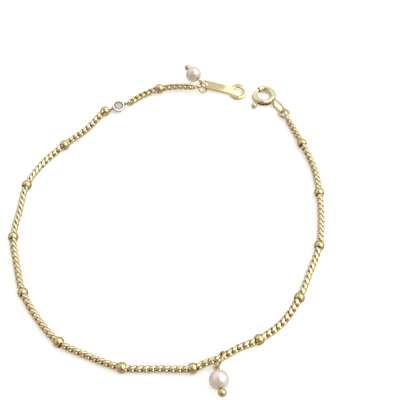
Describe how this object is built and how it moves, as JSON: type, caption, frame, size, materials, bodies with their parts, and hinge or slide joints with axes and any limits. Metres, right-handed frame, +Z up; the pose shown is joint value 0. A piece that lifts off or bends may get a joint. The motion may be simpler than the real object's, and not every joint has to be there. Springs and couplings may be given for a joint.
{
  "type": "pearl chain bracelet",
  "caption": "Fine gold satellite chain bracelet lying open, with ball beads, a bezel-set stone, pearl drops, a flat chain tag and a spring ring clasp.",
  "frame": {"origin": "centre of the bounding box, on the surface that the bracelet lies on", "axes": "+Z up, +Y across the loop from the main pearl drop to the clasp side, +X to the clasp's side"},
  "size_m": [0.0592, 0.0742, 0.0034],
  "materials": {
    "gold": "polished pale yellow gold",
    "white_metal": "polished white metal",
    "pearl": "lustrous nacre",
    "stone": "clear, cut and polished"
  },
  "bodies": {
    "bracelet": {"chain_tag_side": "gold", "chain_main": "gold", "bead_01": "gold", "bead_02": "gold", "bead_03": "gold", "bead_04": "gold", "bead_05": "gold", "bead_06": "gold", "bead_07": "gold", "bead_08": "gold", "bead_09": "gold", "bead_10": "gold", "bead_11": "gold", "bead_12": "gold", "bead_13": "gold", "bead_14": "gold", "setting": "white_metal", "stone": "stone", "drop_ring": "gold", "drop_pin": "gold", "drop_pearl": "pearl", "tag": "gold", "tag_ring": "gold", "tag_pin": "gold", "tag_pearl": "pearl", "clasp_body": "gold", "clasp_ring": "gold"},
    "trigger": {"clasp_trigger": "gold"}
  },
  "joints": [
    {"name": "trigger_slide_round", "type": "hinge", "parent": "bracelet", "child": "trigger", "pos_m": [0.01905, 0.0294, 0.00065], "axis": [0, 0, 1], "range_deg": [0, 58], "stiffness_Nm_per_rad": 0.00005}
  ]
}
